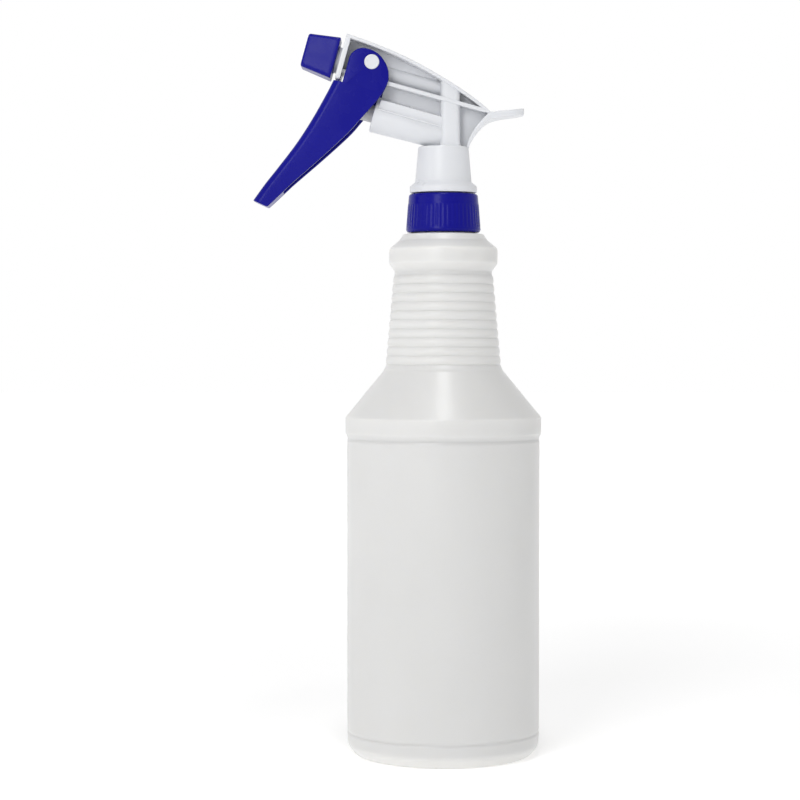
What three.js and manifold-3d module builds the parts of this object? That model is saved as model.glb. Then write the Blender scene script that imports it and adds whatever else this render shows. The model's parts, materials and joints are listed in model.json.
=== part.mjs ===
// Trigger spray bottle: blow-moulded quart bottle, screw cap, and a trigger pump head.
// Millimetres, +Z up. The origin is the centre of the bottle's foot, and the nozzle points to -X.
import * as THREE from 'three';
import { mergeVertices } from 'three/addons/utils/BufferGeometryUtils.js';
import Module from 'manifold-3d';

const wasm = await Module();
wasm.setup();

// Driving dimensions
const RADIUS = 43.6; // label panel of the bottle
const WALL = 1.1; // bottle wall
const PANEL_TOP = 143.4; // where the label panel meets the shoulder bead
const NECK_BASE = 176.4; // foot of the ribbed neck
const NECK_RIBS = 10;
const RIB_PITCH = 4.03;
const RIM_Z = 249.8; // the bottle's mouth
const BORE_R = 10.8; // mouth radius
const THREAD_PITCH = 4.23; // 28 mm closure thread
const CAP_BOTTOM = 236.6;
const CAP_TOP = 254.1;
const CAP_FLUTES = 48;
const GAP = 0.3; // between neighbouring pieces

const RISER_X = 3.0; // the riser stands a little behind the bottle's axis
const RISER_DEPTH = 4.4; // half size of the riser along X
const RISER_HALF = 8.2; // half size of the riser across Y
const RISER_CORNER = 2.5;
const HEAD_Z = 300.1; // where the discharge axis crosses the riser
const TILT = THREE.MathUtils.degToRad(15.5); // the head's axis rises towards the nozzle

// The head's own frame: u runs from nozzle to tail, w is square to it and upwards.
const PLATE_U = -51.3; // front face of the front plate
const PLATE_THICK = 2.3;
const HEAD_HALF = 11.2; // half width of the front plate
const SHELF_W = -4.7; // middle of the shelf between tube and pump
const SHELF_THICK = 1.8;
const SHELF_HALF = 8.4;
const SHELF_END = 18.0;
const TUBE_R = 3.3; // discharge tube
const PIVOT_U = -37.2;
const PIVOT_W = 2.35;
const PIVOT_R = 3.3;
const PUMP_W = -19.1; // pump axis
const PUMP_R = 8.1; // at the mouth
const PUMP_REAR_R = 7.3;
const PUMP_BORE = 6.5;
const PUMP_MOUTH = -30.5;
const PUMP_END = 3.2;
const RIDGE_END = 0.4;
const CHAMBER_END = -3.0;
const POST_R = 6.0; // post that the nozzle snaps onto
const POST_TIP = -60.0;
const POST_BORE = 4.2;
const EAR_INNER = 8.9; // half gap between the trigger's ears
const TRIGGER_WALL = 2.2;
const NOSE_R = 3.0; // rounded nose of the piston
const NOSE_U = PIVOT_U - 6.3; // keeps the nose on the trigger's pad over the whole squeeze

const COLOURS = {
  blue: { color: '#26229c', roughness: 0.28, metalness: 0 },
  white: { color: '#eceef1', roughness: 0.38, metalness: 0 },
  milky: { color: '#e4e3df', roughness: 0.42, metalness: 0 },
  grey: { color: '#c9cacb', roughness: 0.45, metalness: 0 },
  steel: { color: '#b9bcc0', roughness: 0.25, metalness: 1 },
};

// Helpers

function solidOf(geometry) {
  const bare = geometry.clone();
  bare.deleteAttribute('normal');
  bare.deleteAttribute('uv');
  const merged = mergeVertices(bare, 1e-4);
  const index = merged.index.array;
  const faces = [];
  for (let i = 0; i < index.length; i += 3) {
    const [a, b, c] = [index[i], index[i + 1], index[i + 2]];
    if (a !== b && b !== c && c !== a) faces.push(a, b, c);
  }
  return new wasm.Manifold(new wasm.Mesh({
    numProp: 3,
    vertProperties: Float32Array.from(merged.attributes.position.array),
    triVerts: Uint32Array.from(faces),
  }));
}

function geometryOf(solid) {
  const mesh = solid.getMesh();
  const geometry = new THREE.BufferGeometry();
  geometry.setAttribute('position', new THREE.BufferAttribute(mesh.vertProperties, 3));
  geometry.setIndex(new THREE.BufferAttribute(mesh.triVerts, 1));
  geometry.computeVertexNormals();
  return geometry;
}

function points(pairs) {
  return pairs.map(([a, b]) => new THREE.Vector2(a, b));
}

// Turns a profile of [radius, height] about Z.
function lathe(profile, segments = 36) {
  return new THREE.LatheGeometry(points(profile), segments).rotateX(Math.PI / 2);
}

// Turns a profile of [radius, u] about the head's u axis, raised to height w.
function latheU(profile, w = 0, segments = 24) {
  return lathe(profile, segments).rotateY(Math.PI / 2).translate(0, 0, w);
}

// Extrudes a side outline of [x, z] symmetrically across Y.
function acrossY(outline, half) {
  const shape = new THREE.Shape(points(outline));
  const geometry = new THREE.ExtrudeGeometry(shape, { depth: 2 * half, bevelEnabled: false });
  return geometry.rotateX(Math.PI / 2).translate(0, half, 0);
}

// Extrudes a front outline of [y, z] along X.
function alongX(outline, from, to) {
  const shape = new THREE.Shape(points(outline));
  const geometry = new THREE.ExtrudeGeometry(shape, { depth: to - from, bevelEnabled: false });
  return geometry.rotateX(Math.PI / 2).rotateZ(Math.PI / 2).translate(from, 0, 0);
}

// Extrudes a plan outline of [x, y] upwards.
function upZ(outline, from, to) {
  const shape = new THREE.Shape(points(outline));
  const geometry = new THREE.ExtrudeGeometry(shape, { depth: to - from, bevelEnabled: false });
  return geometry.translate(0, 0, from);
}

function box(x0, x1, half, z0, z1) {
  const geometry = new THREE.BoxGeometry(x1 - x0, 2 * half, z1 - z0);
  return geometry.translate((x0 + x1) / 2, 0, (z0 + z1) / 2);
}

function barY(radius, half, x, z, segments = 28) {
  return new THREE.CylinderGeometry(radius, radius, 2 * half, segments).translate(x, 0, z);
}

function mirrored(pairs) {
  const other = pairs.map(([a, b]) => [-a, b]).reverse();
  return [...pairs, ...other];
}

class Helix extends THREE.Curve {
  constructor(radius, pitch, turns, start) {
    super();
    Object.assign(this, { radius, pitch, turns, start });
  }

  getPoint(t, target = new THREE.Vector3()) {
    const angle = 2 * Math.PI * this.turns * t;
    const height = this.start + this.pitch * this.turns * t;
    return target.set(this.radius * Math.cos(angle), this.radius * Math.sin(angle), height);
  }
}

function coil(radius, wire, pitch, turns, start, stepsPerTurn = 18) {
  const section = new THREE.Shape().absarc(0, 0, wire, 0, 2 * Math.PI);
  return new THREE.ExtrudeGeometry(section, {
    extrudePath: new Helix(radius, pitch, turns, start),
    steps: Math.round(turns * stepsPerTurn),
    curveSegments: 3,
  });
}

const headMatrix = new THREE.Matrix4()
  .makeRotationY(TILT)
  .setPosition(RISER_X, 0, HEAD_Z);

function tilted(geometry) {
  return geometry.applyMatrix4(headMatrix);
}

function joined(geometries) {
  return geometries.map(solidOf).reduce((sum, next) => sum.add(next));
}

const group = new THREE.Group();
group.name = 'spray_bottle';
const head = new THREE.Group();
head.name = 'head_frame';
head.position.set(RISER_X, 0, HEAD_Z);
head.rotation.y = TILT;
group.add(head);

function addMesh(parent, name, geometry, colour) {
  const mesh = new THREE.Mesh(geometry, new THREE.MeshStandardMaterial(COLOURS[colour]));
  mesh.name = name;
  parent.add(mesh);
}

// Bottle: outside upwards, over the rim, and back down the inside.

const neckTaper = (26.0 - 22.4) / (NECK_RIBS * RIB_PITCH);
const neckRadius = (z) => 26.0 - neckTaper * (z - NECK_BASE);
const ribRows = [];
for (let i = 0; i < NECK_RIBS; i += 1) {
  const peak = NECK_BASE + RIB_PITCH * (i + 0.6);
  ribRows.push([neckRadius(peak) + 0.2, peak], [neckRadius(peak) - 0.3, peak + 0.55 * RIB_PITCH]);
}

const bottleOutside = [
  [0, 1.0],
  [29.0, 1.0],
  [32.0, 0],
  [38.4, 0],
  [41.6, 1.3],
  [43.2, 4.4],
  [RADIUS, 9.8],
  [RADIUS - 0.6, 11.0],
  [RADIUS, 12.2],
  [RADIUS, PANEL_TOP - 1.0],
  [RADIUS - 0.3, PANEL_TOP],
  [44.2, 145.2],
  [44.4, 148.0],
  [44.3, 152.0],
  [43.6, 153.9],
  [27.4, 173.9],
  [26.2, 175.6],
  ...ribRows,
  [22.0, 219.2],
  [23.2, 220.8],
  [24.4, 224.0],
  [24.5, 227.6],
  [23.6, 229.8],
  [20.2, 232.9],
  [18.4, 235.4],
  [14.4, 236.3],
  [12.4, 237.6],
  [12.4, RIM_Z - 0.6],
  [11.9, RIM_Z],
];

const bottleInside = [
  [BORE_R, RIM_Z],
  [BORE_R, 238.0],
  [16.8, 234.8],
  [22.4, 229.2],
  [23.3, 226.6],
  [21.0, 219.0],
  [24.6, NECK_BASE],
  [26.2, 173.2],
  [42.6, 153.0],
  [43.2, 148.0],
  [RADIUS - WALL, 142.0],
  [RADIUS - WALL, 5.2],
  [40.2, 2.6],
  [37.0, 1.6],
  [32.0, 1.6],
  [29.0, 2.3],
  [0, 2.3],
];

const bottleThread = coil(12.75, 0.85, THREAD_PITCH, 1.4, 241.6, 30);
addMesh(
  group,
  'bottle',
  geometryOf(joined([lathe([...bottleOutside, ...bottleInside]), bottleThread])),
  'milky',
);

// Screw cap: a tapered skirt with fine flutes below a plain band.

const capHole = 9.9;
const capProfile = [
  [14.6, CAP_BOTTOM],
  [16.4, CAP_BOTTOM],
  [16.9, CAP_BOTTOM + 0.9],
  [16.8, CAP_BOTTOM + 1.8],
  [16.0, CAP_BOTTOM + 12.4],
  [15.9, CAP_BOTTOM + 13.2],
  [15.6, CAP_TOP - 1.1],
  [15.0, CAP_TOP],
  [capHole, CAP_TOP],
  [capHole, CAP_TOP - 1.4],
  [14.5, CAP_TOP - 1.4],
  [14.6, CAP_BOTTOM],
];
const FLUTE_ROWS = [3, 4];
const FLUTE_DEPTH = 0.3;

function fluted(geometry, rows, rowCount, depth) {
  const position = geometry.attributes.position;
  for (let i = 0; i < position.count; i += 1) {
    const column = Math.floor(i / rowCount);
    if (!rows.includes(i % rowCount) || column % 2 === 0) continue;
    const shrink = 1 - depth / Math.hypot(position.getX(i), position.getY(i));
    position.setXY(i, position.getX(i) * shrink, position.getY(i) * shrink);
  }
  return geometry;
}

addMesh(
  group,
  'screw_cap',
  fluted(lathe(capProfile, 2 * CAP_FLUTES), FLUTE_ROWS, capProfile.length, FLUTE_DEPTH),
  'blue',
);

// Gasket and connector, from the bottle's rim upwards.

const gasketTop = RIM_Z + GAP + 1.0;
const flangeBottom = gasketTop + GAP;
const flangeTop = CAP_TOP - 1.4 - GAP;
const SOCKET_BOTTOM = 240.5;
const TUBE_SOCKET = 3.7; // bore that holds the dip tube
const TUBE_STOP = 252.6;
const BALL_Z = 258.9;
const BALL_R = 2.9;
const HOUSING_TOP = 266.2;
const HOUSING_R = 9.5;
const DIP_R = 3.4;

addMesh(
  group,
  'cap_gasket',
  lathe([
    [6.4, RIM_Z + GAP],
    [13.9, RIM_Z + GAP],
    [13.9, gasketTop],
    [6.4, gasketTop],
    [6.4, RIM_Z + GAP],
  ], 32),
  'grey',
);

addMesh(
  group,
  'valve_housing',
  lathe([
    [TUBE_SOCKET, SOCKET_BOTTOM],
    [5.6, SOCKET_BOTTOM],
    [5.8, flangeBottom],
    [14.1, flangeBottom],
    [14.1, flangeTop],
    [HOUSING_R, flangeTop],
    [HOUSING_R, 259.8],
    [6.4, 261.2],
    [6.4, HOUSING_TOP],
    [3.6, HOUSING_TOP],
    [3.6, 258.2],
    [1.9, 256.2],
    [1.9, TUBE_STOP],
    [TUBE_SOCKET, TUBE_STOP],
    [TUBE_SOCKET, SOCKET_BOTTOM],
  ], 28),
  'white',
);

const ball = new THREE.SphereGeometry(BALL_R, 16, 12).translate(0, 0, BALL_Z);
addMesh(group, 'inlet_ball', ball, 'steel');

const CAGE_BOTTOM = 263.6;
addMesh(
  group,
  'ball_cage',
  lathe([
    [1.3, CAGE_BOTTOM],
    [3.3, CAGE_BOTTOM],
    [3.3, HOUSING_TOP - GAP],
    [1.3, HOUSING_TOP - GAP],
    [1.3, CAGE_BOTTOM],
  ], 20),
  'grey',
);

// Dip tube with its slotted foot filter.

const DIP_BOTTOM = 10.5;
const dipTop = TUBE_STOP - GAP;
addMesh(
  group,
  'dip_tube',
  lathe([
    [2.3, DIP_BOTTOM],
    [DIP_R, DIP_BOTTOM],
    [DIP_R, dipTop],
    [2.3, dipTop],
    [2.3, DIP_BOTTOM],
  ], 20),
  'milky',
);

const FILTER_BOTTOM = 4.6;
const FILTER_TOP = 20.0;
const filterCup = solidOf(lathe([
  [0, FILTER_BOTTOM],
  [4.6, FILTER_BOTTOM],
  [5.0, FILTER_TOP],
  [DIP_R + GAP, FILTER_TOP],
  [DIP_R + GAP, FILTER_BOTTOM + 1.2],
  [0, FILTER_BOTTOM + 1.2],
], 24));
const FILTER_SLOTS = 4;
let filter = filterCup;
for (let i = 0; i < FILTER_SLOTS; i += 1) {
  const slot = box(0, 7, 0.6, FILTER_BOTTOM + 2.0, FILTER_BOTTOM + 8.0);
  filter = filter.subtract(solidOf(slot.rotateZ((2 * Math.PI * i) / FILTER_SLOTS + Math.PI / 4)));
}
addMesh(group, 'tube_strainer', geometryOf(filter), 'grey');

// Sprayer body

const topLine = [
  [PLATE_U, 11.5],
  [-40.2, 10.8],
  [-26.7, 9.3],
  [-15.2, 7.1],
  [-4.7, 4.5],
  [5.0, 1.6],
  [13.8, -1.6],
  [21.2, -5.1],
];
const TOP_THICK = 1.5;
const lowered = topLine.map(([u, w]) => [u, w - TOP_THICK]).reverse();
const topPlate = acrossY([...topLine, ...lowered], HEAD_HALF);
const frontPlate = acrossY([
  [PLATE_U, -9.0],
  [PLATE_U + PLATE_THICK, -9.0],
  [PLATE_U + PLATE_THICK, 10.7],
  [PLATE_U, 11.2],
], HEAD_HALF);
const web = acrossY([
  [PLATE_U + 1, SHELF_W],
  [SHELF_END, SHELF_W],
  ...topLine.slice(1, -1).reverse().map(([u, w]) => [u, w - 0.7]),
  [PLATE_U + 1, 10.5],
], 1.0);
const shelfBottom = SHELF_W - SHELF_THICK / 2;
const shelf = box(PLATE_U + 1, SHELF_END, SHELF_HALF, shelfBottom, shelfBottom + SHELF_THICK);
const pumpWeb = box(-29.0, 4.0, 1.0, PUMP_W, SHELF_W);

// The pump's lower half is round; above its parting ridge the sides are flat.
const pumpRound = latheU([
  [0, PUMP_MOUTH],
  [PUMP_R, PUMP_MOUTH],
  [PUMP_REAR_R, PUMP_END],
  [0, PUMP_END],
], PUMP_W, 32);
const pumpCheeks = box(PUMP_MOUTH + 1.6, PUMP_END, 7.5, PUMP_W + 1.0, PUMP_W + 6.6);
const pumpRidge = box(PUMP_MOUTH + 1.6, RIDGE_END, PUMP_R + 0.4, PUMP_W + 1.9, PUMP_W + 2.5);
const dischargeTube = latheU([[0, PLATE_U + 1], [TUBE_R, PLATE_U + 1], [TUBE_R, 0], [0, 0]]);
const post = latheU([
  [0, POST_TIP],
  [POST_R - 0.6, POST_TIP],
  [POST_R - 0.6, -57.9],
  [POST_R, -57.4],
  [POST_R, -56.9],
  [POST_R - 0.6, -56.4],
  [POST_R - 0.6, -54.0],
  [POST_R, -53.6],
  [POST_R, PLATE_U + 1],
  [0, PLATE_U + 1],
]);
const trunnions = barY(PIVOT_R, HEAD_HALF + 0.2, PIVOT_U, PIVOT_W);

const saddle = acrossY([
  [10.6, 274.8],
  [11.7, 274.8],
  [12.1, 276.1],
  [13.3, 278.7],
  [15.8, 282.3],
  [19.0, 285.5],
  [22.1, 287.1],
  [26.4, 288.1],
  [36.2, 289.2],
  [36.2, 292.1],
  [31.4, 291.4],
  [26.4, 291.0],
  [21.0, 290.2],
  [17.4, 287.0],
  [14.4, 283.5],
  [12.0, 279.7],
  [10.9, 276.9],
], HEAD_HALF);
// Seen from behind, the saddle's foot is as narrow as the skirt's top and widens upwards.
const saddleWidth = alongX(mirrored([
  [5.0, 270],
  [5.4, 275.5],
  [7.2, 279],
  [8.6, 282.5],
  [HEAD_HALF, 285],
  [HEAD_HALF, 295],
]), 0, 60);
const saddleWeb = acrossY([
  [RISER_X, 274.8],
  [11.2, 274.8],
  [11.9, 278.6],
  [15.2, 283.2],
  [20.4, 288.6],
  [20.8, 289.9],
  [RISER_X, 295.6],
], 1.0);

// Plan of the head: full width at the front plate, narrower towards a rounded tail.
const plan = upZ(mirrored([
  [HEAD_HALF, -60],
  [HEAD_HALF, -44],
  [9.2, 0],
  [8.4, 18],
  [8.2, 30.5],
  [7.0, 34.6],
  [4.4, 36.2],
]).map(([y, x]) => [x, y]), 250, 345);

const underTop = acrossY([...topLine.map(([u, w]) => [u, w - 0.7]), [21.2, -60], [PLATE_U, -60]], 20);

// Plan of a rectangle with rounded corners, centred on the riser.
function roundedPlan(halfX, halfY, corner, steps = 4) {
  const outline = [];
  for (let quarter = 0; quarter < 4; quarter += 1) {
    const signX = quarter === 0 || quarter === 3 ? 1 : -1;
    const signY = quarter < 2 ? 1 : -1;
    for (let i = 0; i <= steps; i += 1) {
      const angle = ((quarter + i / steps) * Math.PI) / 2;
      outline.push([
        RISER_X + signX * (halfX - corner) + corner * Math.cos(angle),
        signY * (halfY - corner) + corner * Math.sin(angle),
      ]);
    }
  }
  return outline;
}

const riserColumn = upZ(roundedPlan(RISER_DEPTH, RISER_HALF, RISER_CORNER), 274.2, 308);
const skirt = lathe([
  [0, CAP_TOP + GAP],
  [15.2, CAP_TOP + GAP],
  [15.2, 257.0],
  [14.6, 257.9],
  [12.7, 259.2],
  [11.35, 274.6],
  [10.9, 275.2],
  [0, 275.2],
], 40);

const SKIRT_BORE = HOUSING_R + GAP;
const skirtBore = lathe([
  [0, 250],
  [SKIRT_BORE, 250],
  [SKIRT_BORE, HOUSING_TOP + GAP],
  [0, HOUSING_TOP + GAP],
], 32);
const riserBore = new THREE.CylinderGeometry(1.9, 1.9, 37, 16)
  .rotateX(Math.PI / 2)
  .translate(RISER_X, 0, 265 + 37 / 2);
const pumpBore = latheU([[0, -40], [PUMP_BORE, -40], [PUMP_BORE, CHAMBER_END], [0, CHAMBER_END]], PUMP_W);
const pumpPort = latheU([[0, -6], [1.4, -6], [1.4, 5.2], [0, 5.2]], PUMP_W, 16);
const dischargeBore = latheU([[0, -58], [1.6, -58], [1.6, 0.5], [0, 0.5]], 0, 16);
const postBore = latheU([[0, -65], [POST_BORE, -65], [POST_BORE, -51.4], [0, -51.4]]);

const plates = joined([tilted(topPlate), tilted(frontPlate), tilted(shelf)])
  .add(solidOf(saddle).intersect(solidOf(saddleWidth)))
  .intersect(solidOf(plan));
const riser = solidOf(riserColumn).intersect(solidOf(tilted(underTop)));
const bodySolids = [
  tilted(web),
  tilted(pumpWeb),
  tilted(pumpRound),
  tilted(pumpCheeks),
  tilted(pumpRidge),
  tilted(dischargeTube),
  tilted(post),
  tilted(trunnions),
  saddleWeb,
  skirt,
];
const bores = [
  skirtBore,
  riserBore,
  tilted(pumpBore),
  tilted(pumpPort),
  tilted(dischargeBore),
  tilted(postBore),
];
addMesh(
  group,
  'sprayer_body',
  geometryOf(plates.add(riser).add(joined(bodySolids)).subtract(joined(bores))),
  'white',
);

// Trigger: a channel whose two ears hang on the body's trunnions.

const rearEdge = [
  [-66.1, -72.3],
  [-63.7, -69.1],
  [-56.0, -57.4],
  [-47.1, -44.0],
  [-38.9, -30.9],
  [-35.2, -23.4],
  [-32.3, -17.6],
  [-29.8, -12.3],
  [-28.2, -7.6],
  [-27.8, -3.4],
  [-28.8, 0.4],
  [-31.6, 4.0],
  [-34.4, 6.1],
  [-37.6, 7.3],
  [-41.0, 7.6],
  [-43.8, 6.9],
  [-46.6, 4.4],
  [-47.4, 1.8],
];
const frontEdge = [
  [-51.6, -9.8],
  [-53.3, -17.6],
  [-56.4, -29.8],
  [-60.3, -41.8],
  [-65.4, -54.2],
  [-69.1, -62.8],
  [-72.3, -71.3],
];
const UNDER_PLATE = frontEdge[0][1];
const triggerOutline = [...rearEdge, [-47.5, UNDER_PLATE], ...frontEdge];
const channelFront = frontEdge.slice(0, 5).map(([u, w]) => [u + TRIGGER_WALL, w]);
const channelOutline = [
  [-61.4, -59.2],
  [-50.0, -62.0],
  [-20.0, -20.0],
  [-20.0, 12.0],
  [-50.0, 12.0],
  [-50.0, UNDER_PLATE + 0.5],
  ...channelFront,
];

function triggerWidth(wall) {
  return alongX(mirrored([
    [8.0 - wall, -75],
    [EAR_INNER + TRIGGER_WALL - wall, -31],
    [EAR_INNER + TRIGGER_WALL - wall, 14],
  ]), -90, 0);
}

const PAD_U = NOSE_U - NOSE_R - GAP;
const pad = box(PAD_U - 4.6, PAD_U, 9.0, PUMP_W - 5.0, PUMP_W + 4.6);
const channel = solidOf(acrossY(channelOutline, 12)).intersect(solidOf(triggerWidth(TRIGGER_WALL)));
const pivotHole = barY(PIVOT_R + 0.08, 14, PIVOT_U, PIVOT_W);
const trigger = solidOf(acrossY(triggerOutline, 12))
  .intersect(solidOf(triggerWidth(0)))
  .subtract(channel)
  .add(solidOf(pad))
  .subtract(solidOf(pivotHole));
addMesh(head, 'trigger', geometryOf(trigger), 'blue');

// Pump inside, from the trigger's pad to the chamber.

const PISTON_END = -17.2;
const ROD_TIP_R = 2.6;
const ROD_R = 3.9;
const GUIDE_R = 6.15;
const nose = [];
for (let i = 0; i <= 5; i += 1) {
  const angle = (i / 5) * THREE.MathUtils.degToRad(110);
  nose.push([NOSE_R * Math.sin(angle), NOSE_U - NOSE_R * Math.cos(angle)]);
}
const CUP_FROM = PISTON_END - 3.6;
const WIPER_FROM = -27.4;
const GROOVE_R = 4.3;
const piston = latheU([
  ...nose,
  [ROD_TIP_R, -41.2],
  [ROD_R, -40.0],
  [ROD_R, -30.6],
  [GUIDE_R, -29.8],
  [GUIDE_R, WIPER_FROM - GAP],
  [GROOVE_R, WIPER_FROM - GAP],
  [GROOVE_R, WIPER_FROM + 2.2 + GAP],
  [5.6, WIPER_FROM + 2.2 + GAP],
  [5.6, CUP_FROM - GAP],
  [3.2, CUP_FROM - GAP],
  [3.2, PISTON_END],
  [0, PISTON_END],
], PUMP_W);
addMesh(head, 'pump_piston', piston, 'grey');

function ring(inner, outer, from, to, lip) {
  return [
    [inner, from],
    [outer - lip, from],
    [outer, to],
    [inner, to],
    [inner, from],
  ];
}

const wiper = ring(GROOVE_R + GAP, 6.25, WIPER_FROM, WIPER_FROM + 2.2, 0.4);
addMesh(head, 'piston_wiper', latheU(wiper, PUMP_W), 'white');
const cup = ring(3.5, 6.25, CUP_FROM, PISTON_END, 0.5);
addMesh(head, 'piston_cup', latheU(cup, PUMP_W), 'white');

const SPRING_FROM = PISTON_END + 0.9;
const SPRING_TURNS = 4;
const SPRING_PITCH = (CHAMBER_END - 0.9 - SPRING_FROM) / SPRING_TURNS;
const returnSpring = coil(4.9, 0.45, SPRING_PITCH, SPRING_TURNS, SPRING_FROM)
  .rotateY(Math.PI / 2)
  .translate(0, 0, PUMP_W);
addMesh(head, 'return_spring', returnSpring, 'steel');

// Outlet: valve, its spring and the spinner sit in the post, behind the nozzle.

const VALVE_FROM = -53.4;
addMesh(head, 'outlet_valve', latheU([
  [0, VALVE_FROM],
  [3.7, VALVE_FROM],
  [3.7, VALVE_FROM + 0.8],
  [2.0, VALVE_FROM + 1.7],
  [0, VALVE_FROM + 1.7],
], 0, 20), 'grey');

const valveSpring = coil(2.3, 0.3, 1.1, 2, -56.1, 14).rotateY(Math.PI / 2);
addMesh(head, 'valve_spring', valveSpring, 'steel');

const spinnerCore = solidOf(latheU([[0, -59.8], [3.85, -59.8], [3.85, -56.8], [0, -56.8]], 0, 24));
const spinnerGroove = solidOf(box(-61, -59.0, 0.6, -5, 5));
addMesh(head, 'spinner', geometryOf(spinnerCore.subtract(spinnerGroove)), 'white');

addMesh(head, 'nozzle_seal', latheU([
  [3.0, -61.4],
  [5.6, -61.4],
  [5.6, POST_TIP - GAP],
  [3.0, POST_TIP - GAP],
  [3.0, -61.4],
], 0, 24), 'grey');

// Nozzle: a square prism that tapers to the front. A bead in its bore snaps behind the post's bead,
// and it turns on the post in quarter turns.

const NOZZLE_REAR = -53.4;
const NOZZLE_FRONT = -67.9;
const NOZZLE_REAR_HALF = 9.4;
const NOZZLE_FRONT_HALF = 7.5;
const EDGE_CUT = 1.1;

function octagon(half, u) {
  const cut = half - EDGE_CUT;
  const corners = [[half, -cut], [half, cut], [cut, half], [-cut, half]];
  const ringPoints = [...corners, ...corners.map(([y, z]) => [-y, -z])];
  return ringPoints.map(([y, z]) => new THREE.Vector3(u, y, z));
}

function prism(back, front) {
  const count = back.length;
  const all = [...back, ...front];
  const faces = [];
  for (let i = 0; i < count; i += 1) {
    const next = (i + 1) % count;
    faces.push(i, next, count + i, next, count + next, count + i);
  }
  for (let i = 1; i < count - 1; i += 1) {
    faces.push(0, i + 1, i, count, count + i, count + i + 1);
  }
  const geometry = new THREE.BufferGeometry().setFromPoints(all);
  geometry.setIndex(faces);
  return geometry;
}

const frontRing = octagon(NOZZLE_FRONT_HALF, NOZZLE_FRONT);
const rearRing = octagon(NOZZLE_REAR_HALF, NOZZLE_REAR);
const nozzleBlock = solidOf(prism(frontRing, rearRing));
const nozzleBore = latheU([
  [0, -68.5],
  [2.8, -68.5],
  [2.0, -66.4],
  [0.5, -66.0],
  [0.5, -64.6],
  [2.4, -64.6],
  [2.4, -61.7],
  [6.3, -61.7],
  [6.3, -56.0],
  [5.8, -55.6],
  [5.8, -55.2],
  [6.3, -54.8],
  [6.3, -50],
  [0, -50],
]);
addMesh(head, 'nozzle', geometryOf(nozzleBlock.subtract(solidOf(nozzleBore))), 'blue');

export default group;
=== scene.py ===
import json
import math

import bmesh
import bpy
from mathutils import Matrix, Vector


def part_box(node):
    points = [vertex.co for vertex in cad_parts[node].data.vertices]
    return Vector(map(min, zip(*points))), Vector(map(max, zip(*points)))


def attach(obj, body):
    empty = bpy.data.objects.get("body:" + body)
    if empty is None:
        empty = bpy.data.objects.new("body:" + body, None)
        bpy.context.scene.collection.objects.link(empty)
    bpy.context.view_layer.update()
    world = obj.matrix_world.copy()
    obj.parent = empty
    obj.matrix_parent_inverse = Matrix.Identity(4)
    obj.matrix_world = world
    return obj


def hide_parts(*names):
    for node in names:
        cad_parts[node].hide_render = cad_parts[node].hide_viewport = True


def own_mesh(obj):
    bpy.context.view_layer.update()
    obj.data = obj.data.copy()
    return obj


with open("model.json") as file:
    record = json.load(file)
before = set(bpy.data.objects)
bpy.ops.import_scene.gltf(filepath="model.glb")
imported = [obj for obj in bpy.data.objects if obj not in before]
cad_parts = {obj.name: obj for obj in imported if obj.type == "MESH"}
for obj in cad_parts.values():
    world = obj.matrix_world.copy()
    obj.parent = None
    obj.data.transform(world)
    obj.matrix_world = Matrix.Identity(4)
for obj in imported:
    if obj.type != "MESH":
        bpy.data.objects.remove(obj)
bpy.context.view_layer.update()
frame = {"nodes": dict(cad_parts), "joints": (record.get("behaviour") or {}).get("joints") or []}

# The head's own frame: u runs from nozzle to tail, w is square to it and upwards.
# Lengths below are in millimetres; MM takes them to the scene's metres.
MM = 0.001
joints = {joint["name"]: joint for joint in frame["joints"]}
U_AXIS = Vector(joints["piston_slide"]["axis"]).normalized()
W_AXIS = Vector((-U_AXIS.z, 0.0, U_AXIS.x))
PIVOT = Vector(joints["trigger_pivot"]["pos_m"])
PIVOT_U = -37.2
PIVOT_W = 2.35
HEAD = PIVOT - U_AXIS * PIVOT_U * MM - W_AXIS * PIVOT_W * MM
HEAD_FRAME = Matrix((
    (U_AXIS.x, 0.0, W_AXIS.x, HEAD.x),
    (0.0, 1.0, 0.0, 0.0),
    (U_AXIS.z, 0.0, W_AXIS.z, HEAD.z),
    (0.0, 0.0, 0.0, 1.0),
)) @ Matrix.Scale(MM, 4)
ROW_FRAME = Matrix.Scale(MM, 4)


def u_axis(w=0.0):
    """Lays a lathe's height along u, at height w in the head."""
    return HEAD_FRAME @ Matrix.Translation((0, 0, w)) @ Matrix.Rotation(math.pi / 2, 4, "Y")


def size_mm(node):
    """The low and high corners of a CAD node's box, in millimetres."""
    low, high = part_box(node)
    return low / MM, high / MM


# --- Camera ------------------------------------------------------------------

FOCAL_MM = 103.5
SENSOR_MM = 36.0
CAMERA_PLACE = (-0.0196, -1.042, 0.1925)
PITCH_DOWN = math.radians(1.74)
camera_data = bpy.data.cameras.new("camera")
camera_data.lens = FOCAL_MM
camera_data.sensor_width = SENSOR_MM
camera = bpy.data.objects.new("camera", camera_data)
bpy.context.scene.collection.objects.link(camera)
camera.matrix_world = Matrix.Translation(CAMERA_PLACE) @ Matrix.Rotation(math.pi / 2 - PITCH_DOWN, 4, "X")
bpy.context.scene.camera = camera

# --- Materials ---------------------------------------------------------------

NOISE_LOW = 0.3  # nearly all of the noise lies between these two values
NOISE_HIGH = 0.7
DRIFT_SCALE = 22
GLOSS_SCALE = 160
WAVE_SCALE = 60
WAVE_SHARE = 2.5  # height of the slow waves against the fine grain
BUMP_STRENGTH = 0.5
PLASTIC_IOR = 1.49
GLOW_COLOUR = (1.0, 0.95, 0.85)


def new_material(name):
    material = bpy.data.materials.new(name)
    material.use_nodes = True
    nodes = material.node_tree.nodes
    return material, nodes, material.node_tree.links, nodes["Principled BSDF"]


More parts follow.
